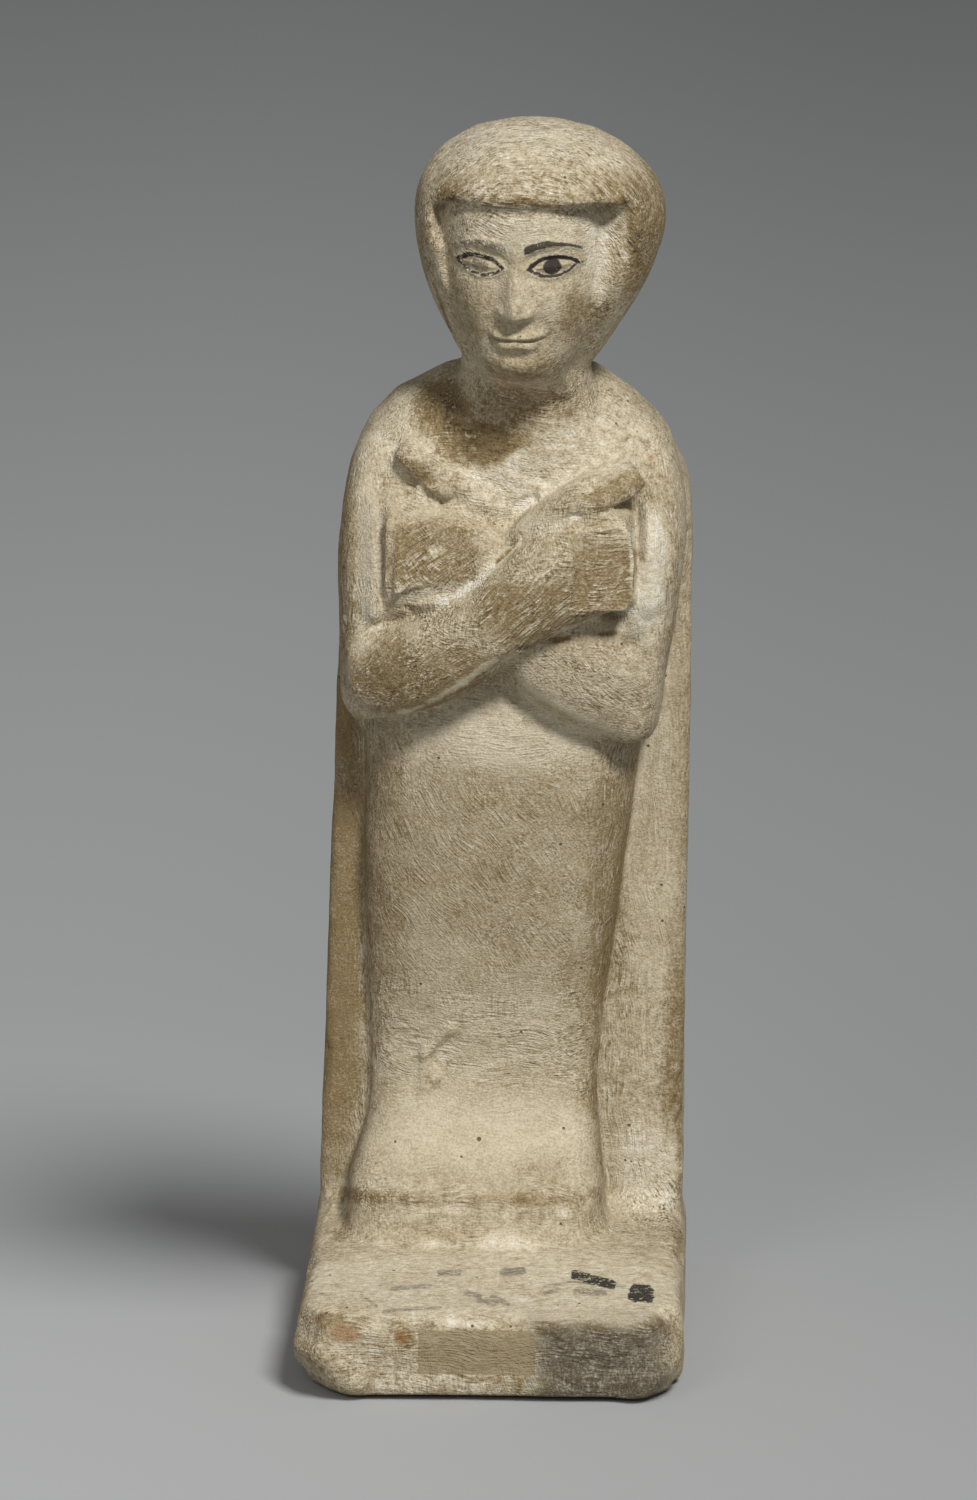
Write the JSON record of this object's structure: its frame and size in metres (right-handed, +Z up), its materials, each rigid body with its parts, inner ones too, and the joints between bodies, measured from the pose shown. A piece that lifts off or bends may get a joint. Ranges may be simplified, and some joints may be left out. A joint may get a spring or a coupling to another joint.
{
  "type": "shabti",
  "caption": "Carved limestone funerary figurine with a round wig and crossed arms, standing against a broad back slab on a deep rectangular base",
  "frame": {"origin": "under the middle of the base, on the surface it stands on", "axes": "+Z up along the figure's height, the figure faces -Y, and +X is to the right as it is looked at"},
  "size_m": [0.0625, 0.0636, 0.201],
  "materials": {
    "limestone": "matt, dry and worn, with rasp scratches and a mottled brown patina"
  },
  "bodies": {
    "root": {"shabti": "limestone"}
  },
  "joints": []
}
